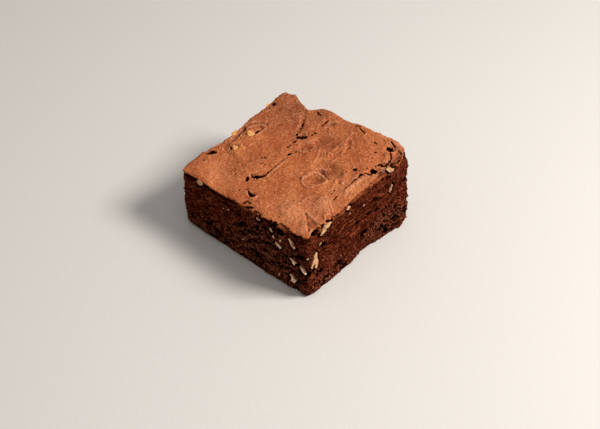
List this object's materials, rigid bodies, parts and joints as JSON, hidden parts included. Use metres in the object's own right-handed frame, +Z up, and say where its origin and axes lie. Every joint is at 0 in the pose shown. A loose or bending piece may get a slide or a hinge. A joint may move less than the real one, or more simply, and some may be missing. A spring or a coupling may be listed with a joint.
{
  "type": "chocolate brownie",
  "caption": "Cut square of chocolate brownie with a thin, crackled, papery top, dark open-textured cut sides and chopped nuts showing at the top and sides.",
  "frame": {"origin": "middle of the bounding box at the flat base", "axes": "+X along the longer cut side, +Y across it, +Z up through the papery top"},
  "size_m": [0.0783, 0.0691, 0.0441],
  "materials": {
    "crumb": "matte",
    "crust": "matte",
    "nut": "matte"
  },
  "bodies": {
    "root": {"brownie": "crumb", "nut_front_1": "nut", "nut_front_2": "nut", "nut_front_3": "nut", "nut_front_4": "nut", "nut_front_5": "nut", "nut_front_6": "nut", "nut_front_7": "nut", "nut_right_1": "nut", "nut_right_2": "nut", "nut_right_3": "nut", "nut_right_4": "nut", "nut_right_5": "nut", "nut_top_1": "nut", "nut_top_2": "nut"}
  },
  "joints": []
}
